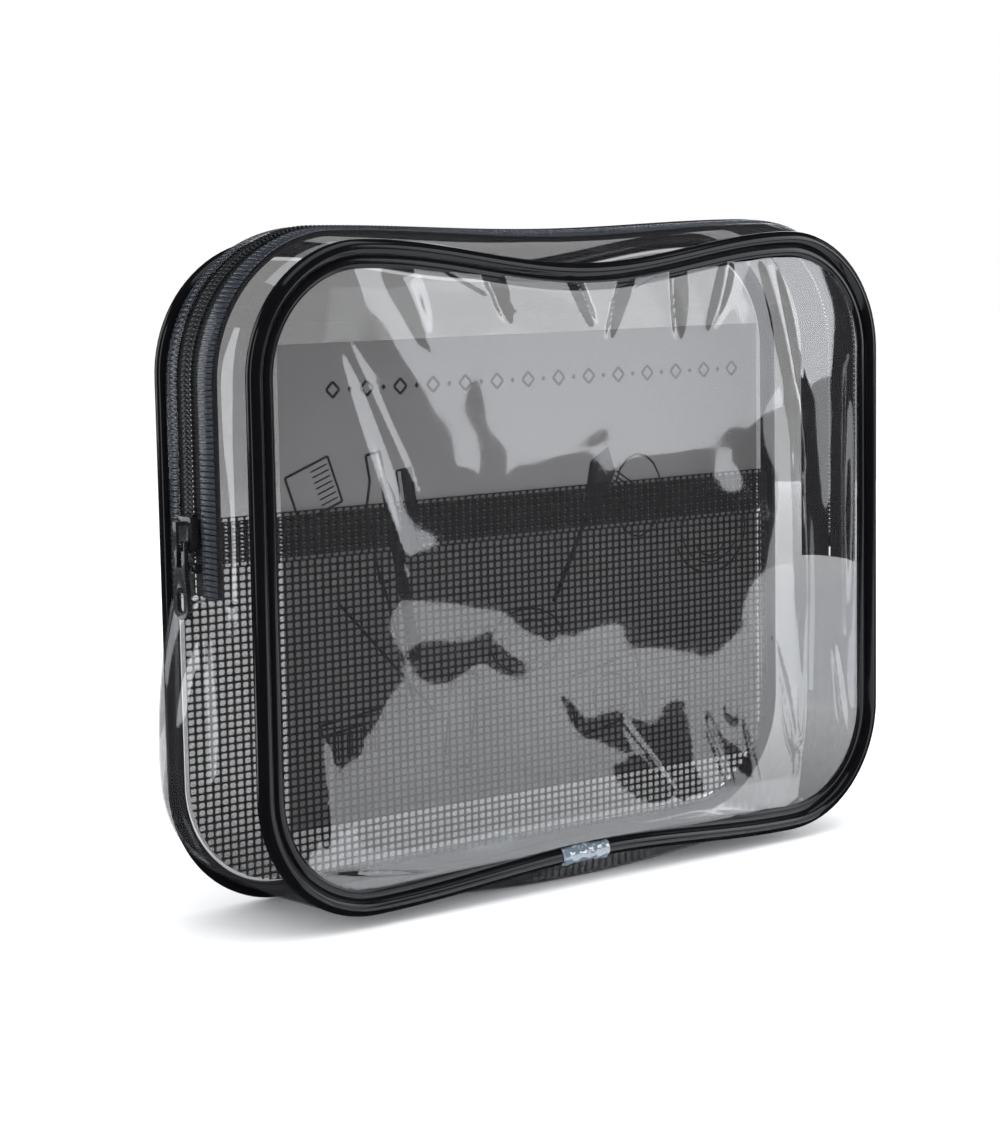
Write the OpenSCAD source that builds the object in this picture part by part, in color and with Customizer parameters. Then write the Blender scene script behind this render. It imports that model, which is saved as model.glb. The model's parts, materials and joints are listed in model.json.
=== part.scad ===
// Clear zip-round makeup bag: crowned front panel, flat rear panel with a mesh
// pocket and an insert card, welded gussets, pipings and a coil zip.
// Millimetres. X is the width, -Y the front, Z up, the bag stands on z = 0.

/* [Bag] */
// Width over the side pipings
bag_w = 214; // [200:1:226]
// Height of a piping from its lowest to its highest point
bag_h = 170; // [164:1:180]
// Distance between the front and the rear piping planes
bag_d = 42; // [40:1:50]
// Radius of the corners over the piping
corner_r = 34; // [30:1:38]
// How far the top edge dips in the middle
top_dip = 7.3; // [2:0.1:10]
// How far the bottom edge rises in the middle
bottom_rise = 3.5; // [0:0.1:5]
// How far the front panel stands out of its piping plane
front_crown = 8; // [5:0.5:11]
// How far the side gussets bulge past the pipings
side_bulge = 4; // [3:0.5:6]
// How far the zip stands above the pipings
top_bulge = 3; // [2:0.5:5]
// Height of the pipings over the floor
lift = 3; // [2:0.5:4]
// Thickness of the PVC film
film = 0.8; // [0.6:0.1:1]

/* [Piping] */
// Diameter of the piping bead
bead_d = 4.4; // [3.6:0.2:4.8]
// Length of the film sleeve over a piping's butt joint
sleeve_l = 16; // [10:1:22]

/* [Fold of the open flap] */
// Height of the fold line at the middle of the bag
fold_z = 81.5; // [76:0.5:86]
// Difference in height between the left and the right zip end
fold_fall = 9; // [0:0.5:12]

/* [Zip] */
// Width of one half of the coil
coil_w = 1.9; // [1.6:0.1:2.2]
// Height of the coil over its tape
coil_h = 1.5; // [1.2:0.1:1.7]
// Width of the tape between the two gusset strips
tape_gap = 9.2; // [8.6:0.2:11]
// How far a gusset strip overlaps its tape
tape_weld = 6; // [4:0.5:7]
// Height of the slider's middle over the floor, closed
slider_z = 101.5; // [100:0.5:106]
// Length of the slider body
slider_l = 9; // [8:0.5:10]
// Length of the pull tab from its pivot
tab_l = 19; // [16:0.5:22]
// Thickness of the pull tab
tab_t = 1.2; // [1:0.1:1.3]

/* [Pocket and card] */
// Height of the pocket's top edge over the floor
pocket_z = 102; // [90:1:110]
// Height of the pocket's folded hem
hem_h = 12.5; // [8:0.5:16]
// Left edge of the insert card
card_x0 = -71; // [-90:1:-60]
// Right edge of the insert card
card_x1 = 99; // [80:1:100]
// Bottom edge of the insert card
card_z0 = 17; // [16:1:30]
// Top edge of the insert card
card_z1 = 146; // [110:1:146]
// Turn of the insert card in its pocket, in degrees
card_tilt = 0; // [0:0.1:2.5]
// Thickness of the insert card
card_t = 0.5; // [0.3:0.1:0.6]

/* [Hidden] */
$fn = 40;

gap = 0.3;
film_color = [0.55, 0.56, 0.6, 0.35];
black = [0.07, 0.07, 0.08];
seam_y = bag_d / 2;
bead_r = bead_d / 2;
bead_sides = 10;
sleeve_t = 0.16;
panel_inset = bead_d + 0.2;
gusset_y = seam_y - bead_r - gap;
flat_y = tape_gap / 2;
foot_y = 14;
bottom_steps = 13;
corner_steps = 8;
side_steps = 3;
crown_rings = 5;
fold_tilt = atan(fold_fall / bag_w);
far = 400;

rear_t = 1;
rear_y = seam_y - 0.4;
card_y = rear_y - 0.35 - card_t;
mesh_t = 0.6;
mesh_y = card_y - 0.35 - mesh_t;

coil_gap = 0.5;
tape_t = 0.5;
strip_depths = steps(-gusset_y, -flat_y, 4);
tape_depths = [-flat_y - tape_weld, strip_depths[3], -flat_y, -coil_gap];
tape_drop = 0.2;
zip_x = bag_w / 2 + side_bulge;
stop_h = 2.4;
stop_w = coil_w + 0.1;
stop_y = 0.9;
left_stop_z = slider_z - slider_l / 2 - gap - 2 * stop_h;
right_stop_z = fold_z - fold_fall / 2 + 2.5;

plate_t = 0.9;
top_x = coil_h - film + gap;
low_x = -film - tape_drop - tape_t - 2 * gap;
bridge_w = 1.7;
bridge_h = 2.8;
bridge_t = 0.8;
bridge_z0 = -3.9;
bridge_z1 = 3.4;
pivot_x = top_x + plate_t + (bridge_h - bridge_t) / 2 + 0.05;
pivot_z = bridge_z0 + 1 + 0.95;
pin_r = 0.55;

// A loop around the bag is [half width, bottom, top, corner radius, dip, rise].
seam_loop = [bag_w / 2, lift, lift + bag_h, corner_r, top_dip, bottom_rise];
rear_loop = [bag_w / 2, sleeve_t, lift + bag_h, corner_r, top_dip, 0];
mid_loop = [bag_w / 2 + side_bulge, lift, lift + bag_h + top_bulge,
  corner_r + side_bulge, top_dip / 4, -lift];

// Loop of the front or the rear seam, whichever lies at depth y.
function seam_at(y) = y < 0 ? seam_loop : rear_loop;

// Grows a loop outwards by d.
function grown(q, d) = [q[0] + d, q[1] - d, q[2] + d, max(q[3] + d, 1), q[4], q[5]];

// Share of the way from the seam to the middle of the gusset, at depth y.
function share(y, level) =
  1 - pow(max(0, abs(y) - level) / (gusset_y - level), 2.2);

// Outer surface of the gusset at depth y.
function gusset_loop(y) =
  let (s = share(y, flat_y), b = share(y, foot_y), q = grown(seam_at(y), -bead_r))
  [for (k = [0:5]) let (u = (k == 1 || k == 5) ? b : s) q[k] * (1 - u) + mid_loop[k] * u];

function hump(x, half) = (1 + cos(180 * x / half)) / 2;

// Points of a loop, anticlockwise from the left end of its bottom edge.
function loop_points(q) =
  let (h = q[0] - q[3], n = bottom_steps, m = corner_steps, s = side_steps, r = q[3])
  concat(
    [for (i = [0:n - 1]) let (x = -h + 2 * h * i / n) [x, q[1] + q[5] * hump(x, h)]],
    [for (i = [0:m - 1]) let (t = 90 * i / m) [h + r * sin(t), q[1] + r - r * cos(t)]],
    [for (i = [0:s - 1]) [q[0], q[1] + r + (q[2] - q[1] - 2 * r) * i / s]],
    [for (i = [0:m - 1]) let (t = 90 * i / m) [h + r * cos(t), q[2] - r + r * sin(t)]],
    [for (i = [0:n - 1]) let (x = h - 2 * h * i / n) [x, q[2] - q[4] * hump(x, h)]],
    [for (i = [0:m - 1]) let (t = 90 * i / m) [-h - r * sin(t), q[2] - r + r * cos(t)]],
    [for (i = [0:s - 1]) [-q[0], q[2] - r - (q[2] - q[1] - 2 * r) * i / s]],
    [for (i = [0:m - 1]) let (t = 90 * i / m) [-h - r * cos(t), q[1] + r - r * sin(t)]]
  );

// Closed band around the bag. A section point is [offset outwards, depth y],
// and its base loop is the seam's, or the gusset's where on_gusset is true.
module band(section, on_gusset) {
  m = len(section);
  rows = [for (c = section)
    loop_points(grown(on_gusset ? gusset_loop(c[1]) : seam_at(c[1]), c[0]))];
  n = len(rows[0]);
  points = [for (i = [0:n - 1]) for (k = [0:m - 1]) [rows[k][i][0], section[k][1], rows[k][i][1]]];
  faces = [for (i = [0:n - 1]) for (k = [0:m - 1]) let (i2 = (i + 1) % n, k2 = (k + 1) % m)
    [i * m + k, i * m + k2, i2 * m + k2, i2 * m + k]];
  polyhedron(points, faces, 4);
}

// Section of a film or tape layer between two depths and two offsets.
function layer(depths, low, high) = concat(
  [for (y = depths) [low, y]],
  [for (k = [len(depths) - 1:-1:0]) [high, depths[k]]]
);

function steps(a, b, n) = [for (i = [0:n]) a + (b - a) * i / n];

function bead_section(y, r, mid) =
  [for (k = [0:bead_sides - 1]) let (t = -360 * (k + 0.5) / bead_sides)
    [mid + r * cos(t), y + r * sin(t)]];

module above_fold() {
  intersection() {
    children();
    translate([0, 0, fold_z]) rotate([0, fold_tilt, 0])
      translate([-far / 2, -far / 2, gap / 2]) cube(far);
  }
}

module below_fold() {
  intersection() {
    children();
    translate([0, 0, fold_z]) rotate([0, fold_tilt, 0])
      translate([-far / 2, -far / 2, -far - gap / 2]) cube(far);
  }
}

// The rear half starts where the bottom gusset ends.
module above_fold_rear() {
  intersection() {
    children();
    translate([0, 0, fold_z]) rotate([0, fold_tilt, 0])
      translate([-far / 2, -far / 2, -gap / 2]) cube(far);
  }
}

// Stands a flat outline drawn in X and Z between two depths.
module upright(y0, y1) {
  translate([0, y1, 0]) rotate([90, 0, 0]) linear_extrude(y1 - y0) children();
}

// Outline of the rear panel, and of all that lies flat against it.
module panel_outline(inset) {
  polygon(loop_points(grown(rear_loop, -inset)));
}

// Crowned shell of the whole front panel.
module front_shell() {
  edge = loop_points(grown(seam_loop, -panel_inset));
  n = len(edge);
  mid = [0, lift + bag_h / 2];
  k_max = crown_rings;
  function bow(t) = front_crown * (1 - pow(1 - t, 2.2));
  function ring_at(t, y) = [for (p = edge)
    let (q = p * (1 - t) + mid * t) [q[0], y - bow(t), q[1]]];
  levels = [for (k = [0:k_max - 1]) k / k_max];
  points = concat(
    [for (t = levels) each ring_at(t, -seam_y - film / 2)],
    [[mid[0], -seam_y - film / 2 - front_crown, mid[1]]],
    [for (t = levels) each ring_at(t, -seam_y + film / 2)],
    [[mid[0], -seam_y + film / 2 - front_crown, mid[1]]]
  );
  back = n * k_max + 1;
  faces = concat(
    [for (k = [0:k_max - 2]) for (i = [0:n - 1]) let (j = (i + 1) % n)
      [k * n + i, (k + 1) * n + i, (k + 1) * n + j, k * n + j]],
    [for (i = [0:n - 1]) let (j = (i + 1) % n)
      [(k_max - 1) * n + i, back - 1, (k_max - 1) * n + j]],
    [for (k = [0:k_max - 2]) for (i = [0:n - 1]) let (j = (i + 1) % n)
      [back + k * n + i, back + k * n + j, back + (k + 1) * n + j, back + (k + 1) * n + i]],
    [for (i = [0:n - 1]) let (j = (i + 1) % n)
      [back + (k_max - 1) * n + i, back + (k_max - 1) * n + j, 2 * back - 1]],
    [for (i = [0:n - 1]) let (j = (i + 1) % n) [i, j, back + j, back + i]]
  );
  polyhedron(points, faces, 4);
}

module front_panel_lower() {
  color(film_color) below_fold() front_shell();
}

module front_panel_upper() {
  color(film_color) above_fold() front_shell();
}

module rear_panel() {
  color(film_color) upright(rear_y, rear_y + rear_t) panel_outline(panel_inset);
}

module front_bead() {
  band(bead_section(-seam_y, bead_r, -bead_r), false);
}

module front_piping_lower() {
  color(black) below_fold() front_bead();
}

module front_piping_upper() {
  color(black) above_fold() front_bead();
}

module rear_piping() {
  color(black) band(bead_section(seam_y, bead_r, -bead_r), false);
}

// Film sleeve over a bead, near the middle of the bottom edge.
module sleeve(y) {
  difference() {
    intersection() {
      band(bead_section(y, bead_r + sleeve_t, -bead_r), false);
      translate([-sleeve_l * 0.8, y - bead_d, 0]) cube([sleeve_l, 2 * bead_d, 5 * bead_d]);
    }
    band(bead_section(y, bead_r + 0.02, -bead_r), false);
  }
}

module front_piping_sleeve() {
  color(film_color) sleeve(-seam_y);
}

module rear_piping_sleeve() {
  color(film_color) sleeve(seam_y);
}

module bottom_gusset() {
  depths = [-gusset_y, -16.9, -15.2, -foot_y, -9, -flat_y, flat_y, 9, foot_y, 15.2, 16.9, gusset_y];
  color(film_color) below_fold() band(layer(depths, -film, 0), true);
}

module front_gusset_strip() {
  color(film_color) above_fold() band(layer(strip_depths, -film, 0), true);
}

module rear_gusset_strip() {
  color(film_color) above_fold_rear() mirror([0, 1, 0]) band(layer(strip_depths, -film, 0), true);
}

module tape() {
  band(layer(tape_depths, -film - tape_drop - tape_t, -film - tape_drop), true);
}

module front_zip_tape() {
  color(black) above_fold() tape();
}

module rear_zip_tape() {
  color(black) above_fold_rear() mirror([0, 1, 0]) tape();
}

// Keeps what lies above the stops at the two ends of the zip.
module between_stops() {
  difference() {
    children();
    translate([-far, -far / 2, -far + left_stop_z + stop_h + 0.1]) cube(far);
    translate([0, -far / 2, -far + right_stop_z + stop_h * 1.6 + 0.1]) cube(far);
  }
}

module coil() {
  between_stops() band(layer([-coil_gap - coil_w, -coil_gap], -film, coil_h - film), true);
}

module front_zip_coil() {
  color(black) coil();
}

module rear_zip_coil() {
  color(black) mirror([0, 1, 0]) coil();
}

module top_stop(y0) {
  translate([-zip_x - coil_h + film - 0.2, y0, left_stop_z])
    cube([coil_h + 0.2, stop_w, stop_h]);
}

module front_top_stop() {
  color([0.2, 0.2, 0.22]) top_stop(-stop_y - stop_w);
}

module rear_top_stop() {
  color([0.2, 0.2, 0.22]) top_stop(stop_y);
}

module zip_bottom_stop() {
  half = coil_gap + coil_w + 0.4;
  color([0.2, 0.2, 0.22]) translate([zip_x - film + gap, -half, right_stop_z])
    cube([coil_h, 2 * half, stop_h * 1.6]);
}

// Stands an outline drawn in Y and Z between two distances out of the zip.
module plate(x0, x1) {
  translate([x0, 0, 0]) rotate([90, 0, 90]) linear_extrude(x1 - x0) children();
}

module slider_outline() {
  tail = 3.2;
  shoulder = 3.6;
  nose = 2.3;
  half = slider_l / 2;
  polygon([[-tail, half - 0.6], [-tail + 0.6, half], [tail - 0.6, half], [tail, half - 0.6],
    [shoulder, -half * 0.3], [shoulder, -half + 1.4], [nose, -half], [-nose, -half],
    [-shoulder, -half + 1.4], [-shoulder, -half * 0.3]]);
}

module flange_outline() {
  channel = coil_gap + coil_w + gap;
  difference() {
    slider_outline();
    translate([-channel, -slider_l]) square([2 * channel, 2 * slider_l]);
  }
}

// Slider with its bridge, drawn with +X out of the bag.
module slider_body() {
  plate(top_x, top_x + plate_t) slider_outline();
  plate(-film + 0.5, top_x + 0.05) flange_outline();
  plate(low_x - plate_t, low_x) slider_outline();
  translate([low_x - 0.1, -0.2, -slider_l / 2 + 0.4]) cube([top_x - low_x + 0.2, 0.4, 3]);
  difference() {
    translate([top_x + plate_t - 0.05, -bridge_w / 2, bridge_z0])
      cube([bridge_h + 0.05, bridge_w, bridge_z1 - bridge_z0]);
    translate([top_x + plate_t, -bridge_w, bridge_z0 + 1])
      cube([bridge_h - bridge_t, 2 * bridge_w, bridge_z1 - bridge_z0 - 2]);
  }
}

module on_zip() {
  translate([-zip_x, 0, slider_z]) mirror([1, 0, 0]) children();
}

module zip_slider() {
  color([0.09, 0.09, 0.1]) on_zip() slider_body();
}

// Pull tab hanging from its pin, drawn with +X out of the bag.
module pull_tab() {
  window = 6.1;
  arm = bridge_w / 2 + 0.35;
  top_w = 5;
  low_w = 6.8;
  color([0.09, 0.09, 0.1]) on_zip() translate([pivot_x, 0, pivot_z]) {
    rotate([90, 0, 0]) translate([0, 0, -top_w / 2]) cylinder(h = top_w, r = pin_r);
    plate(-tab_t / 2, tab_t / 2) difference() {
      union() {
        translate([-top_w / 2, -window - 1.6]) square([top_w, window + 1.6]);
        polygon([[-top_w / 2, -window - 1.4], [top_w / 2, -window - 1.4],
          [low_w / 2, -tab_l + low_w / 2], [-low_w / 2, -tab_l + low_w / 2]]);
        translate([0, -tab_l + low_w / 2]) circle(low_w / 2);
      }
      translate([-arm, -window]) square([2 * arm, window + 1]);
      translate([-1.5, -tab_l + 3.1]) square([3, 3.4]);
      translate([0, -tab_l + 3.1]) circle(1.5);
      translate([0, -tab_l + 6.5]) circle(1.5);
    }
  }
}

module mesh_pocket() {
  color([0.1, 0.1, 0.1, 0.8]) upright(mesh_y, mesh_y + mesh_t) intersection() {
    panel_outline(panel_inset);
    translate([-bag_w, 0]) square([2 * bag_w, pocket_z - hem_h]);
  }
}

module mesh_pocket_hem() {
  color([0.05, 0.05, 0.05]) upright(mesh_y - mesh_t, mesh_y + mesh_t) intersection() {
    panel_outline(panel_inset);
    translate([-bag_w, pocket_z - hem_h]) square([2 * bag_w, hem_h]);
  }
}

module insert_card() {
  color([0.85, 0.84, 0.84]) upright(card_y, card_y + card_t) intersection() {
    translate([card_x0 + card_x1, card_z0 + card_z1] / 2) rotate(-card_tilt)
      square([card_x1 - card_x0, card_z1 - card_z0], center = true);
    panel_outline(panel_inset + 0.4);
  }
}

front_panel_lower();
front_panel_upper();
rear_panel();
front_piping_lower();
front_piping_upper();
rear_piping();
front_piping_sleeve();
rear_piping_sleeve();
bottom_gusset();
front_gusset_strip();
rear_gusset_strip();
front_zip_tape();
rear_zip_tape();
front_zip_coil();
rear_zip_coil();
front_top_stop();
rear_top_stop();
zip_bottom_stop();
zip_slider();
pull_tab();
mesh_pocket();
mesh_pocket_hem();
insert_card();
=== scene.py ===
"""Clear zip-round makeup bag: film panels, pipings, gussets, zip, net pocket and insert card."""

import json
import math

import bmesh
import bpy
from bpy.props import FloatProperty, FloatVectorProperty, PointerProperty
from mathutils import Matrix, Vector, noise


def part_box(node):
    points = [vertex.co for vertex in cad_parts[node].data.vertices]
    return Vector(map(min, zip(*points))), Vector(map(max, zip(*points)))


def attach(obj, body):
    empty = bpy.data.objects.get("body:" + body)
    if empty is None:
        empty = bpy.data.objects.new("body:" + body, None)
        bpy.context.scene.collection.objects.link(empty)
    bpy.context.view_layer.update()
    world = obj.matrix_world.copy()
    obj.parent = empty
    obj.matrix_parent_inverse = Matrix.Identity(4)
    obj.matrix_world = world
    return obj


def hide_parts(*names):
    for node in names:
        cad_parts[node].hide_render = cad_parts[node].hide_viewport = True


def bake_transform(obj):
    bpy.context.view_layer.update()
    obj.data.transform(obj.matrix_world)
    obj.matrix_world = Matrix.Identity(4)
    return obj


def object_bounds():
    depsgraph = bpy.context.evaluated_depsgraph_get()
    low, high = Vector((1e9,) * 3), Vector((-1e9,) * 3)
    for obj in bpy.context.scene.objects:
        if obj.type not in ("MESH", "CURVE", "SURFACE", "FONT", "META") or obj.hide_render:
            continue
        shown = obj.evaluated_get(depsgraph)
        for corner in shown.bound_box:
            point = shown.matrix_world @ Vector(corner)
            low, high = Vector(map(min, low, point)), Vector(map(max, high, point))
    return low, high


bl_info = {
    "name": "Clear Makeup Bag",
    "version": (1, 0, 0),
    "blender": (4, 5, 0),
    "location": "View3D > Sidebar > Makeup Bag",
    "description": "Builds a clear film makeup bag with a zip, a net pocket and an insert card",
    "category": "Add Mesh",
}

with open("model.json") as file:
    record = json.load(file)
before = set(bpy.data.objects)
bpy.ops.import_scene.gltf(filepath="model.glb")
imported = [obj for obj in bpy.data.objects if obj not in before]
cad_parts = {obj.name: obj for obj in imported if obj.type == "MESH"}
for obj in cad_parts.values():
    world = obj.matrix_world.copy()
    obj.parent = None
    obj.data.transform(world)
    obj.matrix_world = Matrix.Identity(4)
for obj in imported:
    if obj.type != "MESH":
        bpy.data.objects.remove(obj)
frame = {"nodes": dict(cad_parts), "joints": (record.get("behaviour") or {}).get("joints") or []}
CAD_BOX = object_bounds()
MM = 0.001

PIPE_LOW, PIPE_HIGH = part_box("rear_piping")
FRONT_PIPE_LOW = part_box("front_piping_lower")[0]
STRIP_LOW, STRIP_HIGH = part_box("rear_gusset_strip")
BEAD = (PIPE_HIGH.y - PIPE_LOW.y) / 2
SEAM_Y = (PIPE_HIGH.y + PIPE_LOW.y) / 2
# The frame's bead has ten sides, so its outer side is a little flat.
BEAD_FLAT = BEAD * (1 - math.cos(math.radians(18)))
CORNER = 34 * MM
TOP_DIP = 7.3 * MM
BOTTOM_RISE = 3.5 * MM
GUSSET_Y = STRIP_HIGH.y
FLAT_Y = STRIP_LOW.y
FOOT_Y = 14 * MM
FOLD = next(j for j in frame["joints"] if j["name"] == "flap_fold")
FOLD_AXIS = Vector(FOLD["axis"])
FOLD_Z = FOLD["pos_m"][2]
PANEL_INSET = 5.2 * MM
# Length along the seam and depth in Y of the gusset's sag below the left zip end.
SAG_RUN = 80 * MM
SAG_DEPTH = 22 * MM
# The front's crown levels off over this width from its edge.
CROWN_EDGE = 15 * MM
# Least fall, as a sine, given to a glance off the front on its way to the floor.
LOWEST_GLANCE = 0.045
# Wall of the net, and how far the corners of its holes are cut off.
NET_WALL = 0.32 * MM
NET_CORNER = 0.38 * MM

# A loop round the bag is (half width, bottom, top, corner radius, dip, rise).
SEAM = (PIPE_HIGH.x + BEAD_FLAT, FRONT_PIPE_LOW.z - BEAD_FLAT, PIPE_HIGH.z + BEAD_FLAT,
        CORNER, TOP_DIP, BOTTOM_RISE)
REAR_SEAM = (SEAM[0], PIPE_LOW.z - BEAD_FLAT, SEAM[2], CORNER, TOP_DIP, 0)
BULGE = STRIP_HIGH.x - SEAM[0]
MIDDLE = (STRIP_HIGH.x, SEAM[1], 176 * MM, CORNER + BULGE, TOP_DIP / 4, CAD_BOX[0].z - SEAM[1])
STRAIGHT = 2 * (MIDDLE[0] - MIDDLE[3])
UPRIGHT = MIDDLE[2] - MIDDLE[1] - 2 * MIDDLE[3]
ARC = math.pi * MIDDLE[3] / 2
LEGS = (STRAIGHT, ARC, UPRIGHT, ARC) * 2
LAP = sum(LEGS)


def fold_height(x):
    return FOLD_Z + x * FOLD_AXIS.z / FOLD_AXIS.x


ZIP_RIGHT = STRAIGHT + ARC + fold_height(MIDDLE[0]) - MIDDLE[1] - MIDDLE[3]
ZIP_LEFT = LAP - ARC - (fold_height(-MIDDLE[0]) - MIDDLE[1] - MIDDLE[3])


# Shapes -------------------------------------------------------------------------------

def grown(q, d):
    """Loop q moved outwards by d."""
    return (q[0] + d, q[1] - d, q[2] + d, max(q[3] + d, MM), q[4], q[5])


def hump(x, half):
    return (1 + math.cos(math.pi * x / half)) / 2 if abs(x) < half else 0.0


def loop_at(q, s):
    """Point in X and Z of loop q, where s is the way along the middle loop."""
    half, low, high, r, dip, rise = q
    h, side = half - r, high - low - 2 * r
    s, k = s % LAP, 0
    while k < 7 and s > LEGS[k]:
        s, k = s - LEGS[k], k + 1
    f = s / LEGS[k]
    a = f * math.pi / 2
    if k == 0:
        x = 2 * h * f - h
        return x, low + rise * hump(x, h)
    if k == 4:
        x = h - 2 * h * f
        return x, high - dip * hump(x, h)
    return {
        1: (h + r * math.sin(a), low + r - r * math.cos(a)),
        2: (half, low + r + side * f),
        3: (h + r * math.cos(a), high - r + r * math.sin(a)),
        5: (-h - r * math.sin(a), high - r + r * math.cos(a)),
        6: (-half, high - r - side * f),
        7: (-h - r * math.cos(a), low + r - r * math.sin(a)),
    }[k]


def share(y, level):
    return 1 - (max(0, abs(y) - level) / (GUSSET_Y - level)) ** 2.2 if abs(y) < GUSSET_Y else 0.0


def gusset_loop(y):
    """Outer face of the gusset at depth y."""
    side, foot = share(y, FLAT_Y), share(y, FOOT_Y)
    q = grown(seam_base(y), -BEAD)
    return tuple(a + (b - a) * (foot if k in (1, 5) else side)
                 for k, (a, b) in enumerate(zip(q, MIDDLE)))


def ripple(*place, seed=0.0):
    """Smooth wave from -1 to 1 at a place."""
    return noise.noise(Vector((*place, seed)[:3]) + Vector((seed, 0, seed)))


def grid(nu, nv, place, size=(1, 1)):
    """Grid of nu by nv faces whose corner (u, v), each 0 to 1, goes to place(u, v)."""
    bm = bmesh.new()
    uv = bm.loops.layers.uv.new("UVMap")
    bmesh.ops.create_grid(bm, x_segments=nu, y_segments=nv, size=0.5)
    bm.verts.index_update()
    spots = [(v.co.x + 0.5, v.co.y + 0.5) for v in bm.verts]
    for face in bm.faces:
        for loop in face.loops:
            u, v = spots[loop.vert.index]
            loop[uv].uv = (u * size[0], v * size[1])
    for vert, (u, v) in zip(bm.verts, spots):
        vert.co = place(u, v)
    return bm


def sweep(s0, s1, n, section, base, closed=True):
    """Section of (out, depth) points carried along a loop, from s0 to s1."""
    m = len(section(s0)) - (0 if closed else 1)

    def place(u, v):
        s = s0 + (s1 - s0) * u
        points = section(s)
        out, y = points[round(v * m) % len(points)]
        x, z = loop_at(grown(base(y), out), s)
        return Vector((x, y, z))

    bm = grid(n, m, place, (abs(s1 - s0), 0.02))
    bmesh.ops.remove_doubles(bm, verts=bm.verts, dist=2e-6)
    if closed:
        rim = [e for e in bm.edges if e.is_boundary]
        if rim:
            bmesh.ops.holes_fill(bm, edges=rim, sides=0)
    return bm


def seam_base(y):
    return SEAM if y < 0 else REAR_SEAM


def outwards(p):
    return Vector((p.x, 0, p.z - (MIDDLE[1] + MIDDLE[2]) / 2))


def piece(bm, name, material, away=None, thick=0.0, sharp=40.0):
    """Turns a bmesh into a finished object. away(p) points out of an open sheet."""
    bmesh.ops.recalc_face_normals(bm, faces=bm.faces)
    if away:
        turned = sum(f.normal.dot(away(f.calc_center_median())) * f.calc_area() for f in bm.faces)
        if turned < 0:
            bmesh.ops.reverse_faces(bm, faces=bm.faces)
    mesh = bpy.data.meshes.new(name)
    bm.to_mesh(mesh)
    bm.free()
    mesh.polygons.foreach_set("use_smooth", [True] * len(mesh.polygons))
    mesh.set_sharp_from_angle(angle=math.radians(sharp))
    mesh.materials.append(material)
    made = bpy.data.objects.new(name, mesh)
    bpy.context.scene.collection.objects.link(made)
    if thick:
        wall = made.modifiers.new("Wall", "SOLIDIFY")
        wall.thickness = thick
        wall.offset = -1
        wall.use_even_offset = True
    return made


def bend_at_fold(obj):
    """Bakes the piece's placement into its mesh."""
    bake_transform(obj)


def refined(node, name, material, width):
    """Copy of a CAD node with rounded edges."""
    bm = bmesh.new()
    bm.from_mesh(frame["nodes"][node].data)
    bmesh.ops.remove_doubles(bm, verts=bm.verts, dist=1e-6)
    bmesh.ops.dissolve_limit(bm, angle_limit=math.radians(3), verts=bm.verts, edges=bm.edges)
    edges = [e for e in bm.edges if len(e.link_faces) == 2 and e.calc_face_angle() > 0.6]
    bmesh.ops.bevel(bm, geom=edges, offset=width, segments=3, profile=0.5, affect="EDGES",
                    material=-1, clamp_overlap=True)
    made = piece(bm, name, material, sharp=50)
    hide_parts(node)
    return made


# Materials ----------------------------------------------------------------------------

class Tree:
    """Short hand for making and joining nodes."""

    def __init__(self, tree):
        self.tree = tree

    def add(self, kind, links=(), **settings):
        node = self.tree.nodes.new(kind)
        sockets = settings.pop("sockets", {})
        for key, value in settings.items():
            setattr(node, key, value)
        for key, value in sockets.items():
            node.inputs[key].default_value = value
        for key, source in dict(links).items():
            self.tree.links.new(source, node.inputs[key])
        return node


def node_group(name, inputs, outputs, build):
    """Shader group made once. inputs are name: default, and outputs are name: kind."""
    found = bpy.data.node_groups.get(name)
    if found:
        return found
    made = bpy.data.node_groups.new(name, "ShaderNodeTree")
    for key, value in inputs.items():
        socket = made.interface.new_socket(key, in_out="INPUT", socket_type="NodeSocketFloat")
        socket.default_value = value
    for key in outputs:
        made.interface.new_socket(key, in_out="OUTPUT", socket_type="NodeSocketFloat")
    tree = Tree(made)
    given = tree.add("NodeGroupInput")
    result = tree.add("NodeGroupOutput")
    for key, source in build(tree, given.outputs).items():
        made.links.new(source, result.inputs[key])
    return made


def scuff_group():
    """Fine scratches and smudges as a mask, and a soft height."""
    def build(tree, given):
        place = tree.add("ShaderNodeTexCoord").outputs["Object"]
        fine = tree.add("ShaderNodeTexNoise", {"Vector": place, "Scale": given["Fine"]},
                        sockets={"Detail": 4.0, "Roughness": 0.6})
        broad = tree.add("ShaderNodeTexNoise", {"Vector": place, "Scale": given["Broad"]},
                         sockets={"Detail": 2.0})
        mask = tree.add("ShaderNodeMapRange", {"Value": fine.outputs["Fac"]},
                        sockets={"From Min": 0.45, "From Max": 0.75})
        return {"Mask": mask.outputs["Result"], "Height": broad.outputs["Fac"]}
    return node_group("Fine Scuffs", {"Fine": 900.0, "Broad": 60.0}, ("Mask", "Height"), build)


def weave_group():
    """Over and under threads on the piece's own UV, in metres."""
    def build(tree, given):
        place = tree.add("ShaderNodeTexCoord").outputs["UV"]
        waves = [tree.add("ShaderNodeTexWave", {"Vector": place, "Scale": given["Scale"]},
                          bands_direction=way, wave_profile="SIN",
                          sockets={"Distortion": 0.4, "Detail": 1.0}) for way in "XY"]
        both = tree.add("ShaderNodeMath", operation="MULTIPLY")
        for k, wave in enumerate(waves):
            tree.tree.links.new(wave.outputs["Fac"], both.inputs[k])
        return {"Height": both.outputs["Value"]}
    return node_group("Thread Weave", {"Scale": 450.0}, ("Height",), build)


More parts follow.
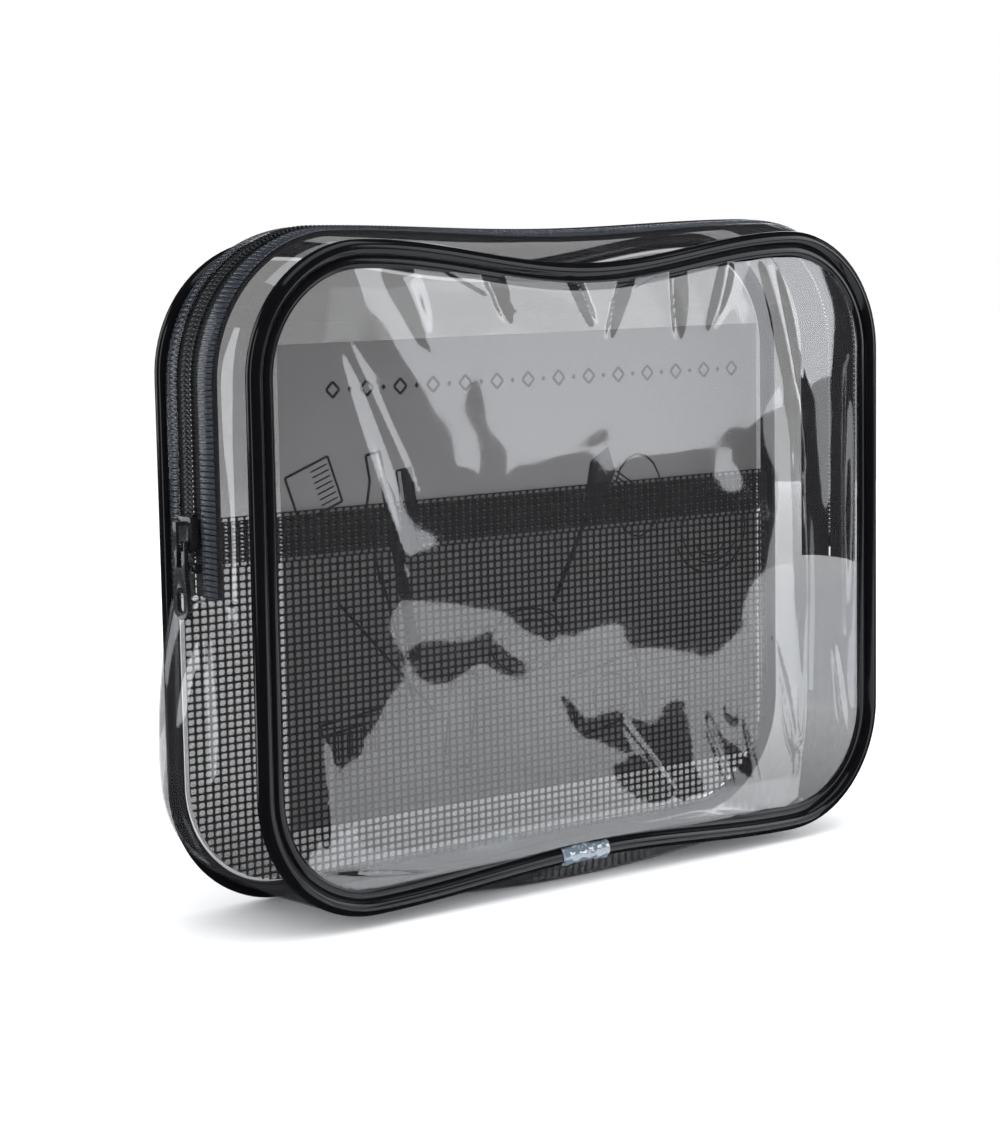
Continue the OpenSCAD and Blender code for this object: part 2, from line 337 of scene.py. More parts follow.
def finish_material(name, colour, rough, scuff=0.1, bump=0.1, fine=900.0, broad=60.0,
                    weave=0.0, tone=0.25, **sockets):
    """Principled material with scuffed roughness, a tone that varies, and a bump."""
    found = bpy.data.materials.get(name)
    if found:
        return found
    made = bpy.data.materials.new(name)
    made.use_nodes = True
    tree = Tree(made.node_tree)
    shader = made.node_tree.nodes["Principled BSDF"]
    for key, value in sockets.items():
        shader.inputs[key.replace("_", " ")].default_value = value
    marks = tree.add("ShaderNodeGroup", node_tree=scuff_group(),
                     sockets={"Fine": fine, "Broad": broad})
    rough_map = tree.add("ShaderNodeMapRange", {"Value": marks.outputs["Mask"]},
                         sockets={"To Min": rough, "To Max": min(1.0, rough + scuff)})
    tones = tree.add("ShaderNodeMix", {"Factor": marks.outputs["Height"]}, data_type="RGBA")
    tones.inputs["A"].default_value = [c * (1 - tone) for c in colour[:3]] + [1]
    tones.inputs["B"].default_value = [min(1, c * (1 + tone)) for c in colour[:3]] + [1]
    height = marks.outputs["Height"]
    if weave:
        threads = tree.add("ShaderNodeGroup", node_tree=weave_group(), sockets={"Scale": weave})
        height = threads.outputs["Height"]
    relief = tree.add("ShaderNodeBump", {"Height": height},
                      sockets={"Strength": bump, "Distance": 0.0005})
    links = made.node_tree.links
    links.new(rough_map.outputs["Result"], shader.inputs["Roughness"])
    links.new(tones.outputs["Result"], shader.inputs["Base Color"])
    links.new(relief.outputs["Normal"], shader.inputs["Normal"])
    return made


def film_material():
    c = bpy.context.scene.bag_colours
    return finish_material("Clear_Film", c.film, 0.02, scuff=0.08, bump=0.012,
                           Alpha=c.film_depth, IOR=2.3)


def gusset_material():
    """Clear film made darker and less see-through towards the floor, as painted shade along the
    bottom of the gusset.
    """
    made = finish_material("Gusset_Film", bpy.context.scene.bag_colours.film, 0.03, scuff=0.1,
                           bump=0.1, IOR=2.3)
    tree = Tree(made.node_tree)
    place = tree.add("ShaderNodeTexCoord").outputs["Object"]
    height = tree.add("ShaderNodeSeparateXYZ", {"Vector": place}).outputs["Z"]
    # Painted shade: the film hides more towards the floor, rising from the film depth to 0.5 near
    # the bottom.
    depth = tree.add("ShaderNodeMapRange", {"Value": height},
                     sockets={"From Min": 4 * MM, "From Max": 30 * MM,
                              "To Min": 0.5, "To Max": bpy.context.scene.bag_colours.film_depth})
    shader = made.node_tree.nodes["Principled BSDF"]
    made.node_tree.links.new(depth.outputs["Result"], shader.inputs["Alpha"])
    return made


def weld_material():
    c = bpy.context.scene.bag_colours
    return finish_material("Weld_Film", c.weld, 0.2, scuff=0.15, bump=0.1, Alpha=0.6, IOR=1.6)


def sleeve_material():
    # Pale base colour: partly the sleeve film's own tint, partly painted reflection in place of
    # the highlights on its crinkles.
    c = bpy.context.scene.bag_colours
    return finish_material("Sleeve_Film", c.sleeve, 0.06, scuff=0.1, bump=0.2,
                           Alpha=0.45, IOR=2.4)


def piping_material():
    c = bpy.context.scene.bag_colours
    return finish_material("Piping_Vinyl", c.piping, 0.09, scuff=0.1, bump=0.05, broad=120.0,
                           IOR=1.3)


def tape_material():
    c = bpy.context.scene.bag_colours
    return finish_material("Zip_Tape", c.tape, 0.6, scuff=0.2, bump=0.5, weave=450.0)


def coil_material():
    c = bpy.context.scene.bag_colours
    return finish_material("Zip_Coil", c.coil, 0.3, scuff=0.2, bump=0.05)


def metal_material():
    c = bpy.context.scene.bag_colours
    return finish_material("Zip_Lacquer", c.metal, 0.22, scuff=0.2, bump=0.05, fine=2500.0,
                           Metallic=0.4, Coat_Weight=0.5)


def net_material():
    c = bpy.context.scene.bag_colours
    return finish_material("Net_Thread", c.net, 0.55, scuff=0.2, bump=0.4, fine=3000.0,
                           broad=2200.0)


def card_material():
    c = bpy.context.scene.bag_colours
    return finish_material("Card_Stock", c.card, 0.6, scuff=0.15, bump=0.08, broad=1500.0,
                           tone=0.03)


def ink_material():
    c = bpy.context.scene.bag_colours
    return finish_material("Card_Ink", c.ink, 0.5, scuff=0.2, bump=0.05, tone=0.2)


# Front film ---------------------------------------------------------------------------

# Creases are (x0, z0, x1, z1, height, width) in millimetres.
CREASES = (
    (-80, 148, -58, 103, 0.35, 1.4),
    (-86, 150, -66, 92, 0.9, 4.6),
    (-64, 168, -56, 148, 1.2, 6.0),
    (-52, 167, -15, 149, 0.22, 1.3),
    (-15, 149, 32, 165, 0.22, 1.3),
    (-36, 168, -30, 152, -1.3, 3.4),
    (-10, 168, -1, 150, 1.5, 2.4),
    (14, 167, 4, 147, -1.6, 2.6),
    (30, 168, 28, 146, -1.3, 3.4),
    (50, 168, 40, 148, 1.0, 4.0),
    (62, 170, 73, 110, 1.3, 5.5),
    (73, 130, 71, 10, 1.3, 5.5),
    (94, 134, 92, 60, -1.3, 4.0),
    (34, 12, 4, 44, 0.35, 1.4),
    (52, 10, 34, 40, 0.4, 1.6),
    (62, 10, 48, 42, 0.4, 1.6),
    (74, 14, 60, 60, 0.6, 2.4),
    (96, 16, 86, 56, -1.0, 4.0),
    (-94, 62, -88, 20, 0.9, 3.0),
    (-92, 18, -56, 12, -1.3, 3.6),
)


def edge_distance(x, z, q):
    """Distance from a point inside loop q to its edge."""
    half, low, high, r = q[:4]
    a = abs(x) - (half - r)
    b = abs(z - (low + high) / 2) - ((high - low) / 2 - r)
    return r - math.hypot(max(a, 0), max(b, 0)) - min(max(a, b), 0)


def crease(x, z, spec):
    """Height of one tapering crease at a point."""
    x0, z0, x1, z1, height, width = (v * MM for v in spec)
    run = Vector((x1 - x0, z1 - z0))
    way = Vector((x - x0, z - z0))
    t = max(0.0, min(1.0, way.dot(run) / run.length_squared))
    side = 1.0 if run.x * way.y - run.y * way.x > 0 else 0.35
    off = (way - run * t).length / (width * side * (1.0 - 0.5 * t))
    if off > 3:
        return 0.0
    return height * math.exp(-off * off) * math.sin(math.pi * (0.08 + 0.84 * t))


# Outline of the low light as the front film mirrors it, in millimetres.
GLOW = ((-98, 6), (-84, 39), (-60, 72), (-37, 67), (-24, 70), (3, 64), (32, 68), (76, 74), (76, 6))
# Dark leaves in that light are (x0, z0, x1, z1, half width) in millimetres.
LEAVES = (
    (-10, 52, 26, 28, 5),
    (6, 30, 34, 18, 6),
    (31, 40, 54, 20, 3),
    (48, 40, 54, 24, 2),
)


def in_leaf(x, z, leaf):
    """Whether a point lies inside a leaf that tapers to both its ends."""
    x0, z0, x1, z1, half = leaf
    run, way = Vector((x1 - x0, z1 - z0)), Vector((x - x0, z - z0))
    t = way.dot(run) / run.length_squared
    return 0 < t < 1 and (way - run * t).length < half * math.sin(math.pi * t) ** 0.6


def front_crown(x, z, q):
    """How far the smooth crown of the front stands out of its seam plane."""
    d = max(0.0, edge_distance(x, z, q))
    rise = 1 - math.exp(-d / CROWN_EDGE)
    lean = 1.0 - 0.0042 * max(0.0, z / MM - 45)
    return bpy.context.scene.bag_sizes.crown * rise * lean


def front_bow(x, z, q):
    """How far the front film stands out of its seam plane."""
    d = max(0.0, edge_distance(x, z, q))
    calm = min(1.0, d / (14 * MM))
    wave = 0.75 * ripple(x * 22, z * 26, seed=3.1) + 0.28 * ripple(x * 55, z * 60, seed=8.4)
    return (front_crown(x, z, q) + wave * MM * calm
            + sum(crease(x, z, c) for c in CREASES) * min(1.0, d / (4 * MM)))


def inside(x, z, outline):
    """Whether a point lies inside a closed outline."""
    hit = False
    for (x0, z0), (x1, z1) in zip(outline, outline[1:] + outline[:1]):
        if (z0 > z) != (z1 > z) and x < x0 + (x1 - x0) * (z - z0) / (z1 - z0):
            hit = not hit
    return hit


def panel_spot(q, u, v):
    """Spot of a rounded panel in X and Z for u and v from 0 to 1."""
    half, low, high, r, dip, rise = q
    side, arc = high - low - 2 * r, r * math.pi / 2
    t = v * (2 * arc + side)
    if t < arc:
        wide, z = half - r + r * math.sin(t / r), low + r - r * math.cos(t / r)
    elif t < arc + side:
        wide, z = half, low + r + t - arc
    else:
        a = (t - arc - side) / r
        wide, z = half - r + r * math.cos(a), high - r + r * math.sin(a)
    x = (2 * u - 1) * wide
    f = (z - low) / (high - low)
    h = half - r
    return x, z + rise * hump(x, h) * (1 - f) - dip * hump(x, h) * f


# Operators ----------------------------------------------------------------------------

class BagSizes(bpy.types.PropertyGroup):
    """Sizes of the bag's visible details."""

    film: FloatProperty(name="Film", description="Thickness of the film",
                        default=0.35 * MM, min=0.1 * MM, max=0.6 * MM, unit="LENGTH")
    slack: FloatProperty(name="Slack", description="How far the gusset sags out below the zip",
                         default=6.5 * MM, min=0.0, max=8 * MM, unit="LENGTH")
    crown: FloatProperty(name="Crown", description="How far the front stands out",
                         default=8 * MM, min=4 * MM, max=9 * MM, unit="LENGTH")
    flange: FloatProperty(name="Flange", description="Half width of the piping's inner ridge",
                          default=1.6 * MM, min=MM, max=2 * MM, unit="LENGTH")
    net_x: FloatProperty(name="Net pitch across", description="Width of one net cell",
                         default=2.4 * MM, min=1.8 * MM, max=4 * MM, unit="LENGTH")
    net_z: FloatProperty(name="Net pitch up", description="Height of one net cell",
                         default=2.0 * MM, min=1.6 * MM, max=4 * MM, unit="LENGTH")
    thread: FloatProperty(name="Thread", description="Width of a net thread",
                          default=0.52 * MM, min=0.3 * MM, max=0.9 * MM, unit="LENGTH")
    coil: FloatProperty(name="Coil pitch", description="Distance between two coil turns",
                        default=1.25 * MM, min=MM, max=2 * MM, unit="LENGTH")
    wire: FloatProperty(name="Coil wire", description="Radius of the coil's wire",
                        default=0.3 * MM, min=0.2 * MM, max=0.4 * MM, unit="LENGTH")
    rib: FloatProperty(name="Weld rib pitch", description="Distance between two weld ribs",
                       default=1.4 * MM, min=MM, max=3 * MM, unit="LENGTH")


def colour(name, about, value):
    return FloatVectorProperty(name=name, description=about, default=value, size=3,
                               subtype="COLOR", min=0, max=1)


class BagColours(bpy.types.PropertyGroup):
    """Colours of the bag's finishes."""

    film: colour("Film", "Tint of the clear film", (0.022, 0.021, 0.022))
    film_depth: FloatProperty(name="Film depth", description="How much one face of film hides",
                              default=0.33, min=0.05, max=0.6, subtype="FACTOR")
    weld: colour("Weld", "Colour of the ribbed weld", (0.034, 0.04, 0.05))
    # The sleeve's pale blue-grey is partly the film's own tint and partly painted reflection of
    # its crinkles.
    sleeve: colour("Sleeve", "Colour of the sleeve film", (0.2, 0.25, 0.3))
    piping: colour("Piping", "Colour of the pipings", (0.003, 0.003, 0.0035))
    tape: colour("Tape", "Colour of the zip tape", (0.012, 0.012, 0.014))
    coil: colour("Coil", "Colour of the zip coil", (0.014, 0.014, 0.016))
    metal: colour("Slider", "Colour of the slider's lacquer", (0.015, 0.015, 0.017))
    net: colour("Net", "Colour of the net", (0.008, 0.0075, 0.008))
    card: colour("Card", "Colour of the insert card", (0.47, 0.457, 0.459))
    ink: colour("Ink", "Colour of the card's print", (0.02, 0.02, 0.022))


class Builder:
    """Shared parts of the bag's operators."""

    bl_options = {"REGISTER", "UNDO"}

    def execute(self, context):
        self.build(context.scene.bag_sizes)
        return {"FINISHED"}


class BAG_OT_front_film(Builder, bpy.types.Operator):
    """Crowned and creased front panel, one sheet across the fold"""

    bl_idname = "makeup_bag.front_film"
    bl_label = "Front Film"

    def build(self, sizes):
        q = grown(SEAM, -PANEL_INSET)

        def place(u, v):
            x, z = panel_spot(q, u, v)
            return Vector((x, -SEAM_Y - front_bow(x, z, q), z))

        bm = grid(210, 165, place)
        film = piece(bm, "front_film", film_material(), lambda p: Vector((0, -1, 0)), sizes.film)
        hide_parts("front_panel_lower", "front_panel_upper")
        bend_at_fold(film)


class BAG_OT_rear_film(Builder, bpy.types.Operator):
    """Flat rear panel with a little sag between its pipings"""

    bl_idname = "makeup_bag.rear_film"
    bl_label = "Rear Film"

    def build(self, sizes):
        q = grown(REAR_SEAM, -PANEL_INSET)
        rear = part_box("rear_panel")[1].y

        def place(u, v):
            x, z = panel_spot(q, u, v)
            calm = min(1.0, edge_distance(x, z, q) / (12 * MM))
            wave = 0.5 * ripple(x * 25, z * 25, seed=5.5) + 0.25 * ripple(x * 60, z * 45, seed=9.1)
            return Vector((x, rear - 0.2 * MM + wave * MM * max(calm, 0), z))

        film = piece(grid(80, 70, place), "rear_film", film_material(),
                     lambda p: Vector((0, 1, 0)), sizes.film)
        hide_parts("rear_panel")
        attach(film, "bag")


class BAG_OT_pipings(Builder, bpy.types.Operator):
    """Beads with their inner ridge, and the sleeves over their butt joints"""

    bl_idname = "makeup_bag.pipings"
    bl_label = "Pipings and Sleeves"

    def ring(self, out, y, a, b, n):
        turns = (2 * math.pi * (k + 0.5) / n for k in range(n))
        return [(out + a * math.cos(t), y + b * math.sin(t)) for t in turns]

    def build(self, sizes):
        for side, name in ((-1, "front"), (1, "rear")):
            y = side * SEAM_Y
            bead = self.ring(-BEAD, y, BEAD, BEAD, 16)
            ridge = self.ring(-2 * BEAD - sizes.flange + 0.3 * MM, y + side * 0.35 * MM,
                              sizes.flange, 0.75 * MM, 12)
            bm = sweep(0, LAP, 260, lambda s: bead, seam_base)
            if side < 0:
                inner = sweep(0, LAP, 260, lambda s: ridge, seam_base)
                loose = bpy.data.meshes.new("ridge")
                inner.to_mesh(loose)
                inner.free()
                bm.from_mesh(loose)
                bpy.data.meshes.remove(loose)
            pipe = piece(bm, name + "_piping_bead", piping_material())
            if side < 0:
                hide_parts("front_piping_lower", "front_piping_upper")
                bend_at_fold(pipe)
            else:
                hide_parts("rear_piping")
                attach(pipe, "bag")
            self.sleeve(side, name, y)

    def sleeve(self, side, name, y):
        low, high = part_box(name + "_piping_sleeve")
        base = seam_base(y)

        def section(s):
            n = 28
            points = []
            for k in range(n):
                t = 2 * math.pi * (k + 0.5) / n
                r = BEAD + (0.35 + 0.5 * ripple(s * 420, t * 1.6, seed=2.0 + side)) * MM
                points.append((-BEAD + r * math.cos(t), y + r * math.sin(t)))
            return points

        s0 = low.x + STRAIGHT / 2
        m = len(section(s0))
        bm = grid(40, m, lambda u, v: self.spot(section, s0 + (high.x - low.x) * u, v, m))
        bmesh.ops.remove_doubles(bm, verts=bm.verts, dist=2e-6)
        wrap = piece(bm, name + "_sleeve_film", sleeve_material(),
                     lambda p: p - Vector((p.x, y, base[1] + base[5] + BEAD)), 0.12 * MM)
        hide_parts(name + "_piping_sleeve")
        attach(wrap, "bag")

    def spot(self, section, s, v, m):
        out, y = section(s)[round(v * m) % m]
        x, z = loop_at(grown(seam_base(y), out), s)
        return Vector((x, y, z))


class BAG_OT_gussets(Builder, bpy.types.Operator):
    """Bottom gusset, the strips beside the zip and their ribbed welds"""

    bl_idname = "makeup_bag.gussets"
    bl_label = "Gussets"

    def build(self, sizes):
        self.bottom(sizes)
        for side, name in ((-1, "front"), (1, "rear")):
            strip = self.strip(sizes, side, name)
            weld = self.weld(sizes, side, name)
            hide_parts(name + "_gusset_strip")
            for made in (strip, weld):
                if side < 0:
                    bend_at_fold(made)
                else:
                    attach(made, "bag")

    def bottom(self, sizes):
        start, run = ZIP_LEFT, LAP - ZIP_LEFT + ZIP_RIGHT

        def place(u, v):
            y = GUSSET_Y * (2 * v - 1)
            s = start + run * u
            calm = math.sin(math.pi * v)
            up = min(1.0, min(u, 1 - u) * 8)
            wave = (0.5 * ripple(s * 30, y * 60, seed=1.7) - 0.25) * MM * calm * up
            t, w = (s - start) / SAG_RUN, (GUSSET_Y - y) / SAG_DEPTH
            if 0 < t < 1 and 0 < w < 1:
                wave += sizes.slack * math.sin(math.pi * t) ** 0.8 * math.sin(math.pi * w) ** 0.8
            x, z = loop_at(grown(gusset_loop(y), wave), s)
            return Vector((x, y, max(z, CAD_BOX[0].z)))

        film = piece(grid(220, 30, place), "bottom_gusset_film", gusset_material(),
                     outwards, sizes.film)
        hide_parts("bottom_gusset")
        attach(film, "bag")

    def strip(self, sizes, side, name):
        def place(u, v):
            y = side * (GUSSET_Y + (FLAT_Y - GUSSET_Y) * v)
            s = ZIP_RIGHT + (ZIP_LEFT - ZIP_RIGHT) * u
            calm = math.sin(math.pi * min(1.0, v * 1.5)) if v < 0.66 else 0
            wave = 0.55 * MM * ripple(s * 28, v * 2.5, seed=6.0 + side) * calm
            x, z = loop_at(grown(gusset_loop(y), wave - 0.05 * MM), s)
            return Vector((x, y, z))

        return piece(grid(300, 18, place), name + "_strip_film", film_material(),
                     outwards, sizes.film)

    def weld(self, sizes, side, name):
        ribs = (ZIP_LEFT - ZIP_RIGHT) / sizes.rib
        depths = [side * d * MM for d in (10.4, 9.9, 8.6, 7.2, 5.6, 5.0)]

        def section(s):
            wave = 0.5 + 0.5 * math.cos(2 * math.pi * s / sizes.rib)
            top = [(0.03 + (0.12 + 0.2 * wave) * (0 if k in (0, 5) else 1)) * MM
                   for k in range(6)]
            return [(0.0, d) for d in depths] + list(zip(top, depths))[::-1]

        bm = sweep(ZIP_RIGHT, ZIP_LEFT, int(ribs * 5), section, gusset_loop)
        uv = bm.loops.layers.uv.active
        gaps = [f for f in bm.faces
                if sum(loop[uv].uv.x for loop in f.loops) / len(f.loops) / sizes.rib % 1 > 0.78]
        bmesh.ops.delete(bm, geom=gaps, context="FACES")
        bmesh.ops.holes_fill(bm, edges=[e for e in bm.edges if e.is_boundary], sides=0)
        return piece(bm, name + "_weld_ribs", weld_material(), sharp=70)


class BAG_OT_zip(Builder, bpy.types.Operator):
    """Tapes, interlocked coils, stops, slider and pull tab"""

    bl_idname = "makeup_bag.zip"
    bl_label = "Zip"

    def build(self, sizes):
        for side, name in ((-1, "front"), (1, "rear")):
            made = [self.tape(side, name), self.coil(sizes, side, name)]
            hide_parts(name + "_zip_tape")
            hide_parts(name + "_zip_coil")
            stop = refined(name + "_top_stop", name + "_stop", metal_material(), 0.35 * MM)
            for part in made + [stop]:
                if side < 0:
                    bend_at_fold(part)
                else:
                    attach(part, "bag")
        for node, name, body, width in (("zip_bottom_stop", "bottom_stop", "bag", 0.5 * MM),
                                        ("zip_slider", "slider_body", "slider", 0.22 * MM),
                                        ("pull_tab", "pull_tab_cast", "pull", 0.3 * MM)):
            part = refined(node, name, metal_material(), width)
            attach(part, body)

    def tape(self, side, name):
        low, high = -1.3 * MM, -0.86 * MM
        depths = [side * d * MM for d in (10.6, 8, 5, 2.8, 0.55)]
        section = [(low, d) for d in depths] + [(high, d) for d in depths[::-1]]
        bm = sweep(ZIP_RIGHT, ZIP_LEFT, 220, lambda s: section, gusset_loop)
        return piece(bm, name + "_tape_cloth", tape_material())

    def coil(self, sizes, side, name):
        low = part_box("rear_zip_coil")[0]
        s0 = ZIP_RIGHT + 6 * MM
        s1 = LAP - ARC - (low.z + 12 * MM - MIDDLE[1] - MIDDLE[3])
        turns = int((s1 - s0) / sizes.coil)
        steps, ring = 8, 5
        shift = 0.5 if side < 0 else 0.0

        def place(u, v):
            turn = u * turns + shift
            t = 2 * math.pi * turn
            a = 2 * math.pi * v
            out = (-0.06 + 0.4 * math.sin(t)) * MM
            y = (1.05 - 1.08 * math.cos(t)) * MM
            wide = sizes.wire * math.cos(a)
            out += wide * math.sin(t)
            y -= wide * math.cos(t)
            s = s0 + turn * sizes.coil + sizes.wire * math.sin(a)
            x, z = loop_at(grown(gusset_loop(0), out), s)
            return Vector((x, side * y, z))

        bm = grid(turns * steps, ring, place)
        bmesh.ops.remove_doubles(bm, verts=bm.verts, dist=2e-6)
        bmesh.ops.holes_fill(bm, edges=[e for e in bm.edges if e.is_boundary], sides=0)
        return piece(bm, name + "_coil_wire", coil_material(), sharp=70)


def net_cells(bm, x0, z0, columns, rows, sizes, y):
    """Net of rounded holes in the plane at depth y."""
    made = bmesh.ops.create_grid(bm, x_segments=columns, y_segments=rows, size=0.5)
    fresh = set(made["verts"])
    for v in fresh:
        v.co = Vector((x0 + (v.co.x + 0.5) * columns * sizes.net_x, y,
                       z0 + (v.co.y + 0.5) * rows * sizes.net_z))
    faces = [f for f in bm.faces if f.verts[0] in fresh]
    bm.normal_update()
    bmesh.ops.inset_individual(bm, faces=faces, thickness=sizes.thread / 2, depth=0,
                               use_even_offset=True)
    inner = list({v for f in faces for v in f.verts})
    bmesh.ops.bevel(bm, geom=inner, offset=NET_CORNER, segments=1, profile=0.5,
                    affect="VERTICES", material=-1)
    holes = [f for f in bm.faces if len(f.verts) == 8]
    bmesh.ops.delete(bm, geom=holes, context="FACES")


def clip_outside(bm, q):
    """Cuts away what lies outside loop q, apart from its top."""
    half, low, _, r = q[:4]
    cuts = [(half, low + r, 1, 0), (-half, low + r, -1, 0)]
    for k in range(7):
        a = math.radians(90 * (k + 0.5) / 7)
        for side in (-1, 1):
            cuts.append((side * (half - r + r * math.sin(a)), low + r - r * math.cos(a),
                         side * math.sin(a), -math.cos(a)))
    for x, z, nx, nz in cuts:
        bmesh.ops.bisect_plane(bm, geom=bm.verts[:] + bm.edges[:] + bm.faces[:], dist=1e-7,
                               plane_co=(x, 0, z), plane_no=(nx, 0, nz), clear_outer=True)


class BAG_OT_net_pocket(Builder, bpy.types.Operator):
    """Net pocket with its folded hem"""

    bl_idname = "makeup_bag.net_pocket"
    bl_label = "Net Pocket"

    def build(self, sizes):
        q = grown(REAR_SEAM, -PANEL_INSET)
        low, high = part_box("mesh_pocket")
        hem_low, hem_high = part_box("mesh_pocket_hem")
        columns = math.ceil(2 * q[0] / sizes.net_x)
        rows = math.ceil((high.z - low.z) / sizes.net_z)
        x0 = -columns * sizes.net_x / 2

        bm = bmesh.new()
        net_cells(bm, x0, high.z - rows * sizes.net_z, columns, rows, sizes, low.y + 0.3 * MM)
        clip_outside(bm, q)
        for v in bm.verts:
            v.co.y += 0.12 * MM * ripple(v.co.x * 40, v.co.z * 40, seed=4.0)
        net = piece(bm, "net_pocket", net_material(), lambda p: Vector((0, -1, 0)), NET_WALL)
        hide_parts("mesh_pocket")
        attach(net, "bag")

        bm = bmesh.new()
        layers = round((hem_high.z - hem_low.z) / sizes.net_z)
        net_cells(bm, x0, hem_low.z, columns, layers, sizes, hem_low.y + 0.1 * MM)
        net_cells(bm, x0, hem_low.z + sizes.net_z / 2, columns, layers, sizes,
                  hem_high.y - 0.15 * MM)
        clip_outside(bm, q)
        hem = piece(bm, "net_hem", net_material(), lambda p: Vector((0, -1, 0)), NET_WALL)
        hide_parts("mesh_pocket_hem")
        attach(hem, "bag")


def stroke(bm, points, width, y):
    """Flat ribbon along points of (x, z) in millimetres."""
    path = [Vector((x, z)) * MM for x, z in points]

    def edge(k, side):
        ahead = path[min(k + 1, len(path) - 1)] - path[max(k - 1, 0)]
        across = Vector((-ahead.y, ahead.x)).normalized() * width / 2 * side
        return path[k] + across

    made = bmesh.ops.create_grid(bm, x_segments=len(path) - 1, y_segments=1, size=0.5)
    n = len(path) - 1
    for v in made["verts"]:
        p = edge(round((v.co.x + 0.5) * n), 1 if v.co.y > 0 else -1)
        v.co = Vector((p.x, y, p.y))


def arc(x, z, rx, rz, a0, a1, n=14):
    """Points of an arc in millimetres, angles in degrees."""
    turns = (math.radians(a0 + (a1 - a0) * k / n) for k in range(n + 1))
    return [(x + rx * math.cos(t), z + rz * math.sin(t)) for t in turns]


def turned(points, x, z, degrees):
    c, s = math.cos(math.radians(degrees)), math.sin(math.radians(degrees))
    return [(x + c * a - s * b, z + s * a + c * b) for a, b in points]


class BAG_OT_insert_card(Builder, bpy.types.Operator):
    """Print of the insert card: an ornament row and drawn make-up things"""

    bl_idname = "makeup_bag.insert_card"
    bl_label = "Insert Card"

    def build(self, sizes):
        card = frame["nodes"]["insert_card"]
        card.data.materials.clear()
        card.data.materials.append(card_material())
        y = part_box("insert_card")[0].y - 0.05 * MM
        for name, lines, blocks in (("card_ornaments", *self.ornaments()),
                                    ("card_drawings", *self.drawings())):
            bm = bmesh.new()
            for points, width in lines:
                stroke(bm, points, width * MM, y)
            for points in blocks:
                bm.faces.new([bm.verts.new((a * MM, y + 0.01 * MM, b * MM)) for a, b in points])
            made = piece(bm, name, ink_material(), lambda p: Vector((0, -1, 0)), 0.03 * MM)
            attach(made, "card")

    def ornaments(self):
        """Plain row of open diamonds and dots."""
        lines, blocks = [], []
        for k in range(27):
            x, z = -54 + 143 * k / 26, 133.6 - 0.6 * k / 26
            r = 0.8 if k % 2 else 2.1
            corners = [(x + r, z), (x, z + r), (x - r, z), (x, z - r)]
            if k % 2:
                blocks.append(corners)
                continue
            for a, b in zip(corners, corners[1:] + corners[:1]):
                lines.append(([a, b], 0.75))
        return lines, blocks

    def drawings(self):
        lines, blocks = [], []

        def box(x, z, w, h, angle, thick=0.7):
            p = [(0, 0), (w, 0), (w, h), (0, h), (0, 0)]
            for a, b in zip(p, p[1:]):
                lines.append((turned([a, b], x, z, angle), thick))

        box(-65.4, 99, 14.5, 13, 20)
        for k in range(7):
            lines.append((turned([(8, 1.6 + 1.6 * k), (13.5, 1.6 + 1.6 * k)],
                                 -65.4, 99, 20), 0.4))
        bottle = [(-4.6, 0), (4.6, 0), (4.6, 22), (2.4, 28), (2.4, 35), (-2.4, 35), (-2.4, 28),
                  (-4.6, 22), (-4.6, 0)]
        for a, b in zip(bottle, bottle[1:]):
            lines.append((turned([a, b], -35.5, 81.5, 10), 0.8))
        for a, b in zip(((0, 0), (5, 0), (5, 24), (0, 24)), ((5, 0), (5, 24), (0, 24), (0, 0))):
            lines.append((turned([a, b], -30.6, 87, 8), 0.6))
        blocks.append(turned([(1.4, 12), (5, 12), (5, 24), (1.4, 24)], -30.6, 87, 8))
        blocks.append(turned([(0, 0), (5, 0), (5, 12), (0, 12)], -30.6, 87, 8))
        blocks.append(turned([(0.8, -24), (4.6, -24), (4.6, 22), (2.4, 28), (0.8, 28)],
                             -35.5, 81.5, 10))
        lines.append(([(-54, 77), (-22, 43)], 0.8))
        lines.append(([(-40, 84), (-30, 48)], 0.8))
        for k in range(9):
            lines.append((turned([(0, k * 1.4), (8, k * 1.4)], 38, 96, -32), 0.5))
        lines.append((arc(52, 98, 9, 12, -150, 160), 0.6))
        lines.append((arc(80, 86, 14, 13, 0, 360, 28), 0.7))
        lines.append((arc(80, 86, 11, 10, 0, 360, 24), 0.5))
        lines.append((arc(80, 84, 6, 6, 200, 340), 0.5))
        lines.append(([(20, 70), (34, 96)], 1.6))
        blocks.append(turned([(-3, 0), (3, 0), (5, 14), (0, 20), (-5, 14)], 34, 94, -20))
        lines.append((arc(10, 60, 13, 9, 0, 360, 26), 0.6))
        lines.append((arc(10, 60, 9, 6, 20, 300, 20), 0.4))
        for k in range(12):
            lines.append(([(-58 + 1.5 * k, 34 + 0.2 * k), (-58 + 1.5 * k, 41 + 0.2 * k)], 0.5))
        box(-60, 41.5, 20, 3, 7)
        box(28, 30, 26, 18, 10)
        lines.append((arc(41, 41, 7, 6, 0, 360, 22), 0.5))
        box(-20, 28, 9, 26, -8)
        return lines, blocks


def area_lamp(name, place, aim, size, watts, tint=(1, 1, 1)):
    data = bpy.data.lights.new(name, "AREA")
    data.shape = "RECTANGLE"
    data.size, data.size_y = size
    data.energy = watts
    data.color = tint
    made = bpy.data.objects.new(name, data)
    made.location = place
    made.rotation_mode = "QUATERNION"
    made.rotation_quaternion = (Vector(aim) - Vector(place)).to_track_quat("-Z", "Y")
    made.visible_camera = False
    bpy.context.scene.collection.objects.link(made)
    return made


